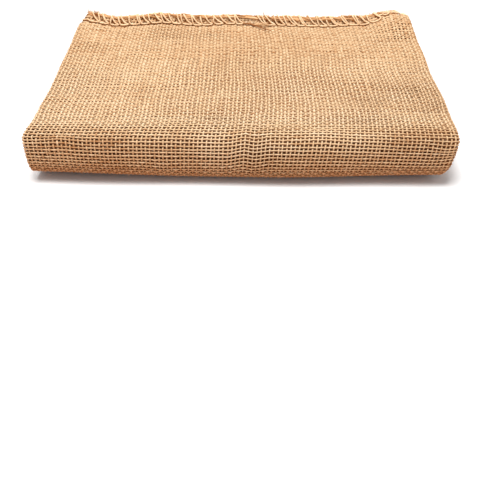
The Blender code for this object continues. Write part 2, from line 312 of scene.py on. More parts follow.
def noise(shape, reach):
    """Smooth random numbers of unit size over the weave, which hold together over reach along each axis."""
    made = random.standard_normal(shape)
    for axis, sigma in enumerate(reach):
        share = np.exp(-2 * (np.pi * np.fft.fftfreq(shape[axis]) * sigma) ** 2)
        spread = np.fft.fft(made, axis=axis) * np.expand_dims(share, 1 - axis)
        made = np.fft.ifft(spread, axis=axis).real
    return made / made.std()


# ---------------- the threads' own unevenness, and their painted light and shade

SHAPE = (LAST_COLUMN + MARGIN - FIRST, ROWS + 1)
FIELD_COLUMNS = (np.arange(SHAPE[0]) + FIRST)[:, None]
FIELD_ROWS = np.arange(SHAPE[1])[None, :]
FOOT_ROW = float(row_of(FRONT["start"]))  # the front fold's foot
BROW_ROW = float(row_of(TOP["start"]))  # and its top
CREASE_ROW = float(row_of(SEAM_S))  # the lip's crease

SHARED_DRIFT = 0.20  # in threads: how far patches of the weave are pushed about together
OWN_DRIFT = 0.07  # and how far each thread strays by itself
JITTER = 0.06  # from one crossing to the next
THREAD_BIAS = 0.02  # and how far it lies off its even place all along
WHOLE_THREAD = 400.0  # reach of the noise that hardly changes along a thread
FRONT_EVENNESS = 0.50  # how much less, as a share, all of these are on the front
# How far the patches reach, in columns and rows.
COLUMN_DRIFT_REACH = (7.0, 5.0)
ROW_DRIFT_REACH = (6.0, 6.0)
WIDTH_PATCH_REACH = (5.0, 4.0)
TONE_PATCH_REACH = (9.0, 7.0)
DIP_PATCH_REACH = (4.0, 5.0)
DIP_JITTER_REACH = (0.6, 0.6)
# How far along a thread its own changes reach, in threads.
DRIFT_REACH = 3.0
JITTER_REACH = 0.5
BAND_REACH = 1.8
SLUB_REACH = 1.6
TONE_REACH = 3.0
WARP_CRIMP = 0.00056  # how far a thread swings to each side of the wall's middle
WEFT_CRIMP = 0.00042
WEFT_FORWARD = 0.00007  # how far the weft lies out and the warp in, on the front
WARP_FORWARD = 0.00003  # and the other way about on the top
CROWN_PAINTED_LIGHT = 0.06  # how much lighter a thread is where it lies on top of the others, partly wear and partly painted highlight, and darker, as painted shade, where it dives under them
GRAIN = 0.05  # how much a thread's tone changes from one crossing to the next
DIP_PAINTED_SHADE = 0.09  # painted shadow: how much darker the weft's crossings are on the top, under the warp's beads, and painted highlight: how much lighter the warp's beside them
DIP_SHARE = 0.80  # the share of that which there is on the whole
DIP_PATCH = 0.18  # and how much this changes from one patch to the next
DIP_JITTER = 0.30  # and from one crossing to the next
DIP_LIMITS = (0.0, 1.6)
FAR_DIP = 0.50  # how much less so, as a share, on the far part of the top
PATCH_TONE = 0.02  # how much lighter or darker the weave is from one patch to the next
OWN_TONE = 0.015  # and each thread all along
BAND_TONE = 0.03  # and from one stretch of it to the next
UNDER_PAINTED_SHADE = 0.48  # painted shade: how much darker a thread's inward side is, where the other threads shade it
HALF_THICKNESS = 0.00050
WARP_HALF_WIDTH = 0.00080
WEFT_HALF_WIDTH = 0.00056
FRONT_WARP = 0.92  # the threads' width on the front, as a share
FRONT_WEFT = 1.20
LIP_CLOSENESS = 0.90  # how much wider, as a share, the threads lie on the lip
PATCHINESS = 0.05  # how much wider or thinner, as a share, the threads are from one patch to the next
OWN_WIDTH = 0.035  # and each of them all along
BAND_WIDTH = 0.07  # and from one stretch of it to the next
SLUB_FROM = 2.3  # where the noise that makes slubs passes this, a thread is wider
SLUB_GAIN = 0.40  # by this share for each unit past it
WIDTH_LIMITS = (0.55, 1.7)  # as shares

# Where rows step up along the front: the column, half the step's length in columns, and the step in rows.
ROW_STEPS = (
    (50, 2.4, 0.90), (53.2, 1.2, -0.45), (56.3, 2.3, 0.70), (78, 18, -1.15),
)
STEP_ROWS = (FOOT_ROW - 4, FOOT_ROW + 4, BROW_ROW - 6, BROW_ROW + 3)  # they come and go over these rows
# Where the weave is pushed along, by a shift in rows. Past is how far past where the top begins.
ROW_PUSHES = (
    # column, past, reach_columns, reach_rows, shift
    (5, 0.1359, 4, 3.5, 0.70), (12, 0.1247, 4.5, 3, -0.55), (92.5, 0.0543, 5, 5, 0.80),
    (82, 0.0395, 6, 4, -0.50), (103, -0.0244, 3, 2.5, 0.70), (99.5, -0.0159, 3, 2, -0.55),
    (9, -0.0148, 3, 2, 0.45), (33, -0.0297, 3.5, 2.5, -0.40), (70, -0.0127, 5, 2.5, 0.40),
)
# Where the weave closes or opens, because its threads are wider or thinner, by this share.
OPENINGS = (
    # column, past, reach_columns, reach_rows, change
    (56, -0.0255, 6, 7, -0.20), (94, 0.0520, 7, 5, -0.34), (83, 0.0340, 5, 3.5, -0.34),
    (98, 0.0260, 6, 5, -0.26), (81, 0.0080, 6, 3, -0.26), (45.5, 0.0090, 4.5, 3, -0.24),
    (6, 0.1334, 6, 4, -0.16), (27, 0.1531, 6, 4, -0.20), (41, 0.1556, 6, 3, -0.22),
    (96, -0.0191, 8, 5, -0.16), (98, 0.1507, 5, 7, -0.10), (9.5, -0.0212, 3.5, 3, 0.30),
    (22, -0.0361, 9, 3, 0.12), (26, 0.0600, 17, 17, 0.36), (82, 0.0650, 11, 13, 0.22),
    (24, 0.0480, 6, 5, -0.20),
)
# Where the yarn is darker or lighter: the change is one of tone.
STAINS = (
    # column, past, reach_columns, reach_rows, change
    (95, -0.0067, 7, 4, -0.12), (89, -0.0125, 3.5, 3, -0.09), (20, -0.0140, 5, 3, -0.12),
    (11, -0.0171, 3, 3, -0.11), (69.5, -0.0098, 4.5, 3, 0.12), (78, -0.0139, 4.5, 3, 0.12),
    (43.5, -0.0130, 3.5, 6, 0.12), (57.5, -0.0180, 4, 2.5, 0.12), (21, -0.0300, 5, 3.5, -0.10),
    (6.5, -0.0150, 3, 5, -0.08), (50, -0.0215, 6, 2.5, 0.09), (62.5, -0.0195, 3, 2.5, 0.08),
    (104, 0.0103, 3, 5, -0.09), (16.5, 0.0080, 4, 3, -0.09), (24, 0.0480, 7, 6, -0.05),
    (64, 0.0560, 5, 8, 0.09), (89, 0.0400, 5, 4, 0.10), (64, 0.0960, 5, 5, 0.06),
)
FAR = (0.065, 0.135)  # past where the top begins: the weave grows closer and flatter between these
FAR_CLOSENESS = 0.58  # how much wider the threads are there, as a share
FAR_FLATNESS = 0.10  # and how much less the warp swings
TOP_WARP_CRIMP = 0.82  # how far the warp swings away from the front, as a share
WARP_FRONT_PAINTED_SHADE = -0.10  # painted shade on the front: the change in tone there, for the warp
WEFT_FRONT_PAINTED_SHADE = -0.05  # and for the weft
FAR_TONE = -0.08  # the change in tone for all threads on the far part of the top
BROW_PAINTED_LIGHT = 0.07  # painted highlight along the brow, where the front meets the top
BROW_REACH = 5.5  # rows to each side of it


def front_share(row):
    """1 on the front fold, where the holes gape and the weft lies outermost, and 0 away from it."""
    return smooth(row, FOOT_ROW - 8, FOOT_ROW - 2) * (1 - smooth(row, BROW_ROW - 6, BROW_ROW + 4))


def far_share(row):
    """1 on the far part of the top, and 0 away from it."""
    return smooth(row, *row_of(TOP["start"] + np.array(FAR)))


def brow_share(row):
    """1 along the brow, and 0 away from it."""
    return np.exp(-((row - BROW_ROW - 1) / BROW_REACH) ** 2)


def warp_swing(row):
    """How far the warp swings to each side of the wall's middle."""
    front = front_share(row)
    return WARP_CRIMP * (front + TOP_WARP_CRIMP * (1 - front)) * (1 - FAR_FLATNESS * far_share(row))


def weft_rise(row):
    """How far the weft lies out, and the warp in, off the wall's middle."""
    front = front_share(row)
    return WEFT_FORWARD * front - WARP_FORWARD * (1 - front) * (1 - far_share(row))


def patch(spots, column, row):
    """The sum of soft round patches at a column and a row."""
    total = 0.0
    for spot_column, past, reach_columns, reach_rows, size in spots:
        spot_row = row_of(TOP["start"] + past)
        distance = ((column - spot_column) / reach_columns) ** 2 + ((row - spot_row) / reach_rows) ** 2
        total = total + size * np.exp(-distance)
    return total


def row_steps(column, row):
    """How far the rows are stepped up along the front."""
    total = sum(size * smooth(column, spot - half, spot + half) for spot, half, size in ROW_STEPS)
    return total * smooth(row, *STEP_ROWS[:2]) * (1 - smooth(row, *STEP_ROWS[2:]))


def along_thread(along, reach):
    """Smooth random numbers that hold together over reach along the threads, and not from one to the next."""
    reaches = [0.0, 0.0]
    reaches[along] = reach
    return noise(SHAPE, reaches)


# Fields over the whole weave, each an array of columns and rows. The order of their random draws matters.
front = front_share(FIELD_ROWS)
far = far_share(FIELD_ROWS)
calm = 1 - FRONT_EVENNESS * front  # how much of their unevenness the threads keep
closeness = 1 + PATCHINESS * calm * noise(SHAPE, WIDTH_PATCH_REACH)
closeness = closeness + patch(OPENINGS, FIELD_COLUMNS, FIELD_ROWS)
lip = smooth(FIELD_ROWS, CREASE_ROW - 2, CREASE_ROW + 1)


def thread_widths(half_width, front_width, along):
    """Half widths of one set of threads: each has its own, with thick and thin places and a few slubs."""
    slubs = np.maximum(along_thread(along, SLUB_REACH) - SLUB_FROM, 0.0)
    own = OWN_WIDTH * along_thread(along, WHOLE_THREAD)
    band = BAND_WIDTH * calm * along_thread(along, BAND_REACH)
    widths = np.clip((1 + own + band + SLUB_GAIN * slubs) * closeness, *WIDTH_LIMITS)
    widths = widths * (1 + (front_width - 1) * front)
    return half_width * widths * (1 + LIP_CLOSENESS * lip + FAR_CLOSENESS * far * (1 - lip))


def thread_tones(along):
    """How light one set of threads is, 0 dark to 1 light."""
    tone = OWN_TONE * along_thread(along, WHOLE_THREAD) + BAND_TONE * along_thread(along, TONE_REACH)
    grain = random.standard_normal(SHAPE)
    grain = grain - (np.roll(grain, 1, axis=1) + np.roll(grain, -1, axis=1)) / 2
    return 0.5 + tone + GRAIN * grain + PATCH_TONE * noise(SHAPE, TONE_PATCH_REACH) + region_tone


def thread_shift(along, reach):
    """How far one set of threads is off its even place, in threads."""
    shift = SHARED_DRIFT * noise(SHAPE, reach) + OWN_DRIFT * along_thread(along, DRIFT_REACH)
    shift = shift + JITTER * along_thread(along, JITTER_REACH) + THREAD_BIAS * along_thread(along, WHOLE_THREAD)
    return calm * shift


column_shift = thread_shift(1, COLUMN_DRIFT_REACH)
row_shift = thread_shift(0, ROW_DRIFT_REACH)
row_shift += patch(ROW_PUSHES, FIELD_COLUMNS, FIELD_ROWS) + row_steps(FIELD_COLUMNS, FIELD_ROWS)
warp_width = thread_widths(WARP_HALF_WIDTH, FRONT_WARP, 1)
weft_width = thread_widths(WEFT_HALF_WIDTH, FRONT_WEFT, 0)
# The regions' tone: the far top's, a painted highlight along the brow, and the stains.
region_tone = FAR_TONE * far * (1 - lip) + BROW_PAINTED_LIGHT * brow_share(FIELD_ROWS)
region_tone = region_tone + patch(STAINS, FIELD_COLUMNS, FIELD_ROWS)
# Where, and how strongly, that painted shadow and highlight of the crossings fall on the top.
painted_dips = DIP_SHARE + DIP_PATCH * noise(SHAPE, DIP_PATCH_REACH) + DIP_JITTER * noise(SHAPE, DIP_JITTER_REACH)
painted_dips = np.clip(painted_dips, *DIP_LIMITS) * (1 - front) * (1 - FAR_DIP * far)
# Painted shade on the front fold, darker there than elsewhere.
warp_tone = thread_tones(1) + WARP_FRONT_PAINTED_SHADE * front
weft_tone = thread_tones(0) + WEFT_FRONT_PAINTED_SHADE * front


def read(field, columns, rows):
    """A field's values at every pair of the given columns and rows, halves included, as a grid.

    Past its first and last column a field is mirrored, for the inner walls.
    """
    c = np.abs(np.asarray(columns, float) - FIRST)
    c = np.clip(np.minimum(c, 2 * SHAPE[0] - 3 - c), 0, SHAPE[0] - 1.001)
    r = np.clip(np.asarray(rows, float), 0, SHAPE[1] - 1.001)
    c0 = c.astype(int)[:, None]
    r0 = r.astype(int)[None, :]
    cs = (c[:, None] - c0)
    rs = (r[None, :] - r0)
    return ((field[c0, r0] * (1 - cs) + field[c0 + 1, r0] * cs) * (1 - rs)
            + (field[c0, r0 + 1] * (1 - cs) + field[c0 + 1, r0 + 1] * cs) * rs)


# ---------------- meshes

MAP_MARGIN = 0.002  # of the bake's map
STRIP_MARGIN = 0.03  # of each tube's strip on it
TWIST_OFFSET = (0.37, 0.61)  # from one tube to the next, so that their twists don't match


def mesh_of_tubes(name, rings, tone, outward=True, fine=2, under=0.0):
    """One mesh of many closed tubes, with fine rings to a thread's pitch.

    rings is an array of tubes, rings, sides and xyz, and tone one of tubes and rings. The second half of each
    ring's sides, which faces into the wall, is darker by under: painted shade, where the other threads shade
    it.
    """
    tubes, length, sides, _ = rings.shape
    points = rings.reshape(-1, 3)
    index = np.arange(len(points)).reshape(tubes, length, sides)
    near = index[:, :-1]
    far = index[:, 1:]
    quads = np.stack([near, np.roll(near, -1, 2), np.roll(far, -1, 2), far], axis=-1).reshape(-1, 4)
    caps = np.concatenate([index[:, 0, ::-1], index[:, -1]])
    if not outward:
        quads = quads[:, ::-1]
        caps = caps[:, ::-1]
    mesh = bpy.data.meshes.new(name)
    mesh.vertices.add(len(points))
    mesh.vertices.foreach_set("co", points.astype(np.float32).ravel())
    corners = np.concatenate([quads.ravel(), caps.ravel()]).astype(np.int32)
    starts = np.concatenate([np.arange(len(quads)) * 4, 4 * len(quads) + np.arange(len(caps)) * sides])
    mesh.loops.add(len(corners))
    mesh.loops.foreach_set("vertex_index", corners)
    mesh.polygons.add(len(starts))
    mesh.polygons.foreach_set("loop_start", starts.astype(np.int32))
    mesh.update(calc_edges=True)
    mesh.shade_smooth()
    shade = under * (np.arange(sides) * 2 >= sides)
    add_tone(mesh, (tone.reshape(-1, 1) - shade).ravel())
    add_tube_maps(mesh, corners, (tubes, length, sides), fine)
    mesh.validate()
    return mesh


def mesh_of_sheet(name, upper, lower, maps):
    """One closed mesh of a sheet between two like grids of points. maps holds names and grids of places."""
    rows, columns, _ = upper.shape
    count = rows * columns
    index = np.arange(count).reshape(rows, columns)
    top = np.stack([index[:-1, :-1], index[:-1, 1:], index[1:, 1:], index[1:, :-1]], axis=-1).reshape(-1, 4)
    bottom = top[:, [0, 3, 2, 1]] + count
    rim = np.concatenate([index[0, ::-1], index[1:, 0], index[-1, 1:], index[-2:0:-1, -1]])
    after = np.roll(rim, -1)
    sides = np.stack([rim, after, after + count, rim + count], axis=-1)
    faces = np.concatenate([top, bottom, sides])
    mesh = bpy.data.meshes.new(name)
    mesh.from_pydata(np.concatenate([upper.reshape(-1, 3), lower.reshape(-1, 3)]), [], faces.tolist())
    mesh.shade_smooth()
    corners = faces.ravel() % count
    for map_name, places in maps:
        add_map(mesh, map_name, places.reshape(-1, 2)[corners])
    return mesh


def add_tone(mesh, tone):
    """Each point's lightness, 0 to 1, painted light and shade included, which the materials read."""
    layer = mesh.attributes.new("tone", "FLOAT", "POINT")
    layer.data.foreach_set("value", tone.astype(np.float32))


def add_map(mesh, name, places):
    """A map that gives each corner of the faces its place."""
    layer = mesh.uv_layers.new(name=name)
    layer.uv.foreach_set("vector", places.astype(np.float32).ravel())


def add_tube_maps(mesh, corners, shape, fine):
    """The bake's map, each tube on a strip of its own, and the twist's, in threads along and turns around."""
    tubes, length, sides = shape
    tube, rest = np.divmod(corners, length * sides)
    ring, side = np.divmod(rest, sides)
    quad_count = tubes * (length - 1) * sides
    turn = side.astype(float)
    first = side[:4 * quad_count].reshape(-1, 4)
    wraps = (first.max(axis=1) - first.min(axis=1)) > 1
    turn[:4 * quad_count] = np.where(wraps[:, None] & (first == 0), sides, first).ravel()
    along = MAP_MARGIN + (1 - 2 * MAP_MARGIN) * ring / (length - 1)
    strip = (tube + STRIP_MARGIN + (1 - 2 * STRIP_MARGIN) * turn / sides) / tubes
    add_map(mesh, "OFBake", np.stack([along, strip], axis=-1))
    twist_along = ring / fine + TWIST_OFFSET[0] * tube
    twist_around = turn / sides + TWIST_OFFSET[1] * tube
    add_map(mesh, "twist", np.stack([twist_along, twist_around], axis=-1))


def add_piece(name, mesh, shade):
    """A piece of the sack, on its one body."""
    piece = bpy.data.objects.new(name, mesh)
    bpy.context.scene.collection.objects.link(piece)
    mesh.materials.append(shade)
    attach(piece, "root")
    return piece


# ---------------- the stitches' route, and the threads

STITCH_COLUMNS = 3.26  # from one stitch to the next
FIRST_STITCH = 1.9  # column of the first
STITCH_COUNT = 61  # along the whole edge, round the widthwise fold
OUTER_STITCHES = 31  # of which these are on the upper leg and the fold
TAIL_STITCH = 15  # where one length of twine ends in a loose tail
STITCH_DEPTH = 0.0096  # from the raw edge to the lowest point of a scallop
STITCH_LEAN = (3.5, 2.6)  # columns that a leg's top lies before its foot, at the left edge and at the right
LEG_GAP = 0.66  # columns between the two legs that share a hole
BACK_LEAN = 0.74  # the lean of the leg that comes back over, as a share
STITCH_WANDER = 0.05  # how far a stitch strays along the seam, in stitches
GAP_SWAY = 0.25  # how much the gap changes from one stitch to the next, as a share
LEAN_SWAY = 0.18  # and the lean
DEPTH_SWAY = 0.0003  # and the scallop's depth
OVER_EDGE = 0.0004  # how far the twine goes past the raw edge
OVER_SWAY = 0.0004  # and how much that changes
THREAD_SIDES = 4  # of a thread's tube
# How much deeper or less deep the stitches go along the seam.
BASE_WAVE = (
    # column, depth
    (0, -0.0030), (3, -0.0010), (7, 0.0008), (12, 0.0008), (18, 0.0), (24, -0.0006), (30, 0.0004), (36, 0.0010),
    (42, 0.0), (45, -0.0014), (49, -0.0006), (57, 0.0), (66, 0.0005), (69, -0.0002), (72, 0.0006), (78, 0.0008),
    (81, -0.0003), (84, -0.0004), (88, 0.0010), (91, 0.0004), (93, -0.0040), (100, -0.0045),
)


def stitch_base(column):
    """How far along the roll the scallops' lowest points are."""
    return EDGE_S - STITCH_DEPTH - np.interp(column, *np.array(BASE_WAVE).T)


TWINE_LIES = 0.0015  # height of the twine's middle off the wall's
TWINE_BEHIND = -0.0029  # and on the lip's other face


def stitch(column, following):
    """One stitch's points in columns, s and height, chosen for its form, up to the following column."""
    sway = random.standard_normal(6)
    gap = LEG_GAP * (1 + GAP_SWAY * sway[0])
    left = column + gap / 2
    right = following - gap / 2
    width = right - left
    base = float(stitch_base(column + STITCH_COLUMNS / 2)) + DEPTH_SWAY * sway[1]
    usual_lean = float(np.interp(column, (0.0, COLUMNS), STITCH_LEAN))
    lean = usual_lean * (1 + LEAN_SWAY * sway[2])
    back_lean = usual_lean * (BACK_LEAN + LEAN_SWAY * sway[3])
    over = EDGE_S + OVER_EDGE + OVER_SWAY * sway[4]
    half_way = base + 0.5 * (over - base)
    back = right + gap
    return [
        # the scallop
        (left, base + 0.0022, TWINE_LIES * 0.8),
        (left + 0.12 * width, base + 0.0015, TWINE_LIES),
        (left + 0.32 * width, base + 0.0004, TWINE_LIES),
        (left + 0.54 * width, base, TWINE_LIES + 0.0001),
        (left + 0.76 * width, base + 0.0003, TWINE_LIES),
        (left + 0.94 * width, base + 0.0013, TWINE_LIES),
        (right, base + 0.0022, TWINE_LIES + 0.0001),
        # the leg that goes over the raw edge
        (right - 0.45 * lean, half_way, TWINE_LIES + 0.0006),
        (right - 0.90 * lean, over - 0.0010, TWINE_LIES + 0.0004),
        (right - lean, over + 0.0003, -0.0004),
        # down and up again on the lip's other face
        (right - lean, over - 0.0010, TWINE_BEHIND),
        (right - 0.3 * lean, base + 0.0030, TWINE_BEHIND),
        (right + 0.5 * gap - 0.8 * back_lean, over - 0.0026, TWINE_BEHIND),
        # the leg that comes back over, to the next scallop's hole
        (back - back_lean, over + 0.0002, -0.0006),
        (back - 0.88 * back_lean, over - 0.0010, TWINE_LIES + 0.0003),
        (back - 0.42 * back_lean, half_way, TWINE_LIES + 0.0005),
    ]


def twine_run(first, last):
    """The twine's points over a run of stitches, in rows of column, s and height."""
    stray = STITCH_WANDER * random.standard_normal(last + 1)
    columns = FIRST_STITCH + STITCH_COLUMNS * (np.arange(last + 1) + stray)
    points = []
    for index in range(first, last):
        points += stitch(columns[index], columns[index + 1])
    return np.array(points)


# The first points of the left length of twine: column, s past the raw edge, and height.
TWINE_START = ((-0.3, -0.0062, 0.0009), (1.0, -0.0058, 0.0014))
LEFT_START = np.array(TWINE_START) + (0.0, EDGE_S, 0.0)
LEFT_RUN = np.concatenate([LEFT_START, twine_run(0, TAIL_STITCH)[:-2]])
RIGHT_RUN = twine_run(TAIL_STITCH + 1, OUTER_STITCHES)
REAR_RUN = twine_run(OUTER_STITCHES, STITCH_COUNT)

PINCH = 0.0008  # how deep the tight twine presses the cloth in beside it
PINCH_REACH = 0.0012  # and how far to each side
PINCH_STEP = 0.0004  # along the twine, from one point where it is measured to the next
PINCH_PAINTED_SHADOW = 0.40  # painted shadow: how much darker the threads beside the twine are, where it shades them


def smooth_path(points, step):
    """Points an even step apart on one smooth curve through the given ones."""
    points = np.asarray(points, float)
    before = np.concatenate([points[:1], points[:-1]])
    after = np.concatenate([points[1:], points[-1:]])
    slopes = (after - before) / 2
    t = np.linspace(0, 1, 12, endpoint=False)[None, :, None]
    a, b, u, v = (value[:, None, :] for value in (points[:-1], points[1:], slopes[:-1], slopes[1:]))
    curve = (2 * t**3 - 3 * t**2 + 1) * a + (t**3 - 2 * t**2 + t) * u
    curve = curve + (3 * t**2 - 2 * t**3) * b + (t**3 - t**2) * v
    curve = np.concatenate([curve.reshape(-1, points.shape[1]), points[-1:]])
    along = np.concatenate([[0.0], np.cumsum(np.linalg.norm(np.diff(curve, axis=0), axis=1))])
    stops = np.linspace(0.0, along[-1], max(3, round(along[-1] / step) + 1))
    return np.stack([np.interp(stops, along, curve[:, axis]) for axis in range(points.shape[1])], axis=-1)


def twine_tree():
    """A search tree of the twine's points on the upper leg's outer face, flat: across and along the cloth."""
    across_along = np.array([COLUMN_PITCH, 1.0, 1.0])
    points = np.concatenate([smooth_path(run * across_along, PINCH_STEP) for run in (LEFT_RUN, RIGHT_RUN)])
    points = points[points[:, 2] > 0]
    tree = KDTree(len(points))
    for index, (across, along, _) in enumerate(points):
        tree.insert((across, along, 0.0), index)
    tree.balance()
    return tree


TWINE_TREE = twine_tree()


def pinch(columns, rows):
    """How much the twine presses the cloth in at every pair of the given columns and rows, as a grid."""
    pressed = np.zeros((len(columns), len(rows)))
    for i, column in enumerate(columns):
        if not 0 <= column < COLUMNS:
            continue
        for j in np.flatnonzero(rows > CREASE_ROW - 4):
            spot = (column * COLUMN_PITCH, float(s_of(rows[j])), 0.0)
            pressed[i, j] = math.exp(-(TWINE_TREE.find(spot)[2] / PINCH_REACH) ** 2)
    return pressed


def threads(kind, region, columns, rows, fine, shade):
    """The warp or the weft over a span of columns and rows: closed tubes that go over and under the others."""
    warp = kind == "warp"
    column_fine, row_fine = (1, fine) if warp else (fine, 1)
    c = np.arange(column_fine * columns[0], column_fine * columns[1] + 1) / column_fine
    r = np.arange(row_fine * rows[0], row_fine * rows[1] + 1) / row_fine
    side = 1 if warp else -1
    over = side * np.cos(math.pi * (c[:, None] + r[None, :]))
    drawn_in = pinch(c, r)
    swing = warp_swing(r) if warp else WEFT_CRIMP
    height = swing * over - side * weft_rise(r) - PINCH * drawn_in
    width = read(warp_width, c, r) / COLUMN_PITCH if warp else read(weft_width, c, r) / ROW_PITCH
    # Painted highlight and shade at the crossings: crowns lighter, dives darker, and on the top the weft's
    # crossings darker where the warp's beads shade them.
    painted_crowns = CROWN_PAINTED_LIGHT * over + side * DIP_PAINTED_SHADE * read(painted_dips, c, r) * np.maximum(over, 0.0)
    # Painted shadow beside the twine, on top of the threads' own tone.
    tone = read(warp_tone if warp else weft_tone, c, r) - PINCH_PAINTED_SHADOW * drawn_in + painted_crowns
    grids = (c[:, None] + read(column_shift, c, r), r[None, :] + read(row_shift, c, r), height, width, tone)
    column, row, height, width, tone = grids if warp else [grid.T for grid in grids]
    turn = 2 * math.pi * (np.arange(THREAD_SIDES) + 0.5) / THREAD_SIDES
    reach = width[..., None] * np.cos(turn)
    column = column[..., None] + reach * warp
    row = row[..., None] + reach * (not warp)
    rings = cloth(column, row, height[..., None] + HALF_THICKNESS * np.sin(turn))
    name = kind + "_" + region
    mesh = mesh_of_tubes(name, rings, tone, outward=not warp, fine=fine, under=UNDER_PAINTED_SHADE)
    return add_piece(name, mesh, shade)


# ---------------- single cords

TWINE_LAY = 0.0035  # over which the twine's plies turn once round
PLY_HOLLOW = 0.32  # how deep the hollows between them are, as a share of the radius


def frames(path):
    """Two directions across a path at each of its points, which turn as little as they can along it."""
    tangents = np.gradient(path, axis=0)
    tangents /= np.linalg.norm(tangents, axis=1, keepdims=True)
    across = np.cross(tangents[0], (0.31, 0.52, 0.80))
    first = []
    for tangent in tangents:
        across = across - tangent * np.dot(across, tangent)
        across = across / np.linalg.norm(across)
        first.append(across)
    first = np.array(first)
    return first, np.cross(tangents, first)


def cord_rings(path, radius, sides, plies=1):
    """Rings round a path: a cord of twisted plies, whose hollows turn once round in each TWINE_LAY."""
    first, second = frames(path)
    turn = 2 * math.pi * np.arange(sides) / sides
    step = np.linalg.norm(np.diff(path, axis=0), axis=1).mean()
    phase = 2 * math.pi * step / TWINE_LAY * np.arange(len(path))
    size = np.broadcast_to(np.asarray(radius, float), len(path))[:, None]
    if plies > 1:
        swell = np.abs(np.cos(plies / 2 * (turn[None, :] - phase[:, None])))
        size = size * (1 - PLY_HOLLOW + PLY_HOLLOW * swell)
    out = np.cos(turn)[None, :, None] * first[:, None, :] + np.sin(turn)[None, :, None] * second[:, None, :]
    return path[:, None, :] + size[:, :, None] * out


def join_meshes(name, meshes):
    """One mesh of several."""
    holders = [bpy.data.objects.new("part", mesh) for mesh in meshes]
    for holder in holders:
        bpy.context.scene.collection.objects.link(holder)
    with bpy.context.temp_override(active_object=holders[0], selected_editable_objects=holders):
        bpy.ops.object.join()
    joined = holders[0].data
    joined.name = name
    bpy.data.objects.remove(holders[0])
    return joined


# ---------------- the seam: stitches, raw edge and loose ends

TWINE_RADIUS = 0.00074
TWINE_SWELL = 0.10  # how much thicker or thinner it is from place to place, as a share
TWINE_KNOTS = 9  # steps from one such place to the next
TWINE_TONE = 0.62
TWINE_GRAIN = 0.10  # how much its tone changes from step to step

# The loose end of the first length of twine, on top of the cloth: x, s past the lip's crease, and height.
TAIL = (
    (0.0052, -0.0006, 0.0022), (0.0100, -0.0040, 0.0023), (0.0150, -0.0078, 0.0022),
    (0.0195, -0.0108, 0.0021), (0.0232, -0.0124, 0.0020),
)
TAIL_TIP = 0.75  # the share of it over which it thins
TIP_RADIUS = 0.65  # of its tip, as a share
TIP_DARK = 0.20  # how much darker its tip is


def wander(count, every):
    """Random numbers of unit size that change evenly between knots, which come every so many numbers."""
    knots = np.arange(0, count + every, every)
    return np.interp(np.arange(count), knots, random.standard_normal(len(knots)))


def twine(name, path, sides, shade, tip=0.0):
    """A length of twine along a path of even steps, which thins to its tip where it has a loose one."""
    count = len(path)
    radius = TWINE_RADIUS * (1 + TWINE_SWELL * wander(count, TWINE_KNOTS))
    tone = TWINE_TONE + TWINE_GRAIN * random.standard_normal(count)
    if tip:
        share = smooth(np.linspace(1.0, 0.0, count), 0.0, tip)
        radius = radius * (TIP_RADIUS + (1 - TIP_RADIUS) * share)
        tone = tone - TIP_DARK * (1 - share)
    rings = cord_rings(path, radius, sides, plies=2)[None]
    return add_piece(name, mesh_of_tubes(name, rings, np.clip(tone, 0, 1)[None]), shade)


def run_path(run, step):
    """The smooth path of a run of stitches, as it lies on the cloth."""
    column, s, height = run.T
    return smooth_path(cloth(column, row_of(s), height), step)


def tail_path(step):
    """The smooth path of the loose end, from the last stitch of the first length of twine."""
    column, s, height = LEFT_RUN[-8]
    start = cloth(column, row_of(s), height)
    return smooth_path([start, *(place(SEAM_S + s, x, LEG + WALL / 2 + up, LEG) for x, s, up in TAIL)], step)


RAVEL_STRANDS = 8
RAVEL_STEP = 0.42  # columns from one of its points to the next
RAVEL_KNOTS = 6  # points over which a strand holds its way
RAVEL_REACH = 0.0013  # how far its strands wind about its middle
RAVEL_DEPTH = 1.15  # and how far off the wall, as a share of that
RAVEL_TURN = 0.24  # radians that they turn about it in a column
RAVEL_STRAY = 0.9  # radians that a strand strays from that
RAVEL_UNEVENNESS = 0.30  # of a strand's reach and radius, as a share
RAVEL_LUMPS = (0.25, 14)  # of the whole edge, as a share, and points over which each holds
RAVEL_RISE = (0.0003, 30)  # how far the whole edge rises and falls, and the same
RAVEL_WANDER = 0.0003  # and each strand by itself
RAVEL_TONE = (0.45, 0.16)  # its middle value and its spread
RAVEL_MIDDLE = (-0.0013, -0.0002)  # where its middle is: past the raw edge, and off the wall's middle
RAVEL_RADIUS = 0.00066  # of a strand
RAVEL_LIMITS = (0.00032, 0.0011)
RAVEL_HEART = 0.0005  # how much thicker the strand in its middle is


